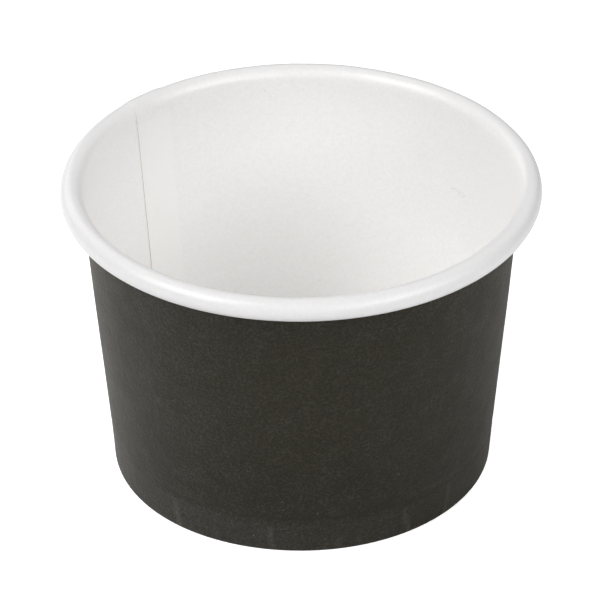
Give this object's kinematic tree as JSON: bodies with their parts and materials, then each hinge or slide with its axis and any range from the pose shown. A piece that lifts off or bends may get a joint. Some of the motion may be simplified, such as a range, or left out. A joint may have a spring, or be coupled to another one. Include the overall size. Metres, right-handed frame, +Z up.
{
  "type": "paper tub",
  "caption": "Round tapered paper tub with a rolled rim, a lapped side seam and a recessed base, for ice cream and other portions of food.",
  "frame": {"origin": "centre of the foot, on the plane that the tub stands on", "axes": "+Z up along the tub's axis; the lap seam's inner cut edge is 141 degrees from +X towards +Y"},
  "size_m": [0.075, 0.075, 0.05],
  "materials": {
    "printed_board": "matt charcoal print outside, satin white coating inside and on the rolled rim",
    "white_board": "satin white coated board"
  },
  "bodies": {
    "root": {"side_wall": "printed_board", "base": "white_board"}
  },
  "joints": []
}
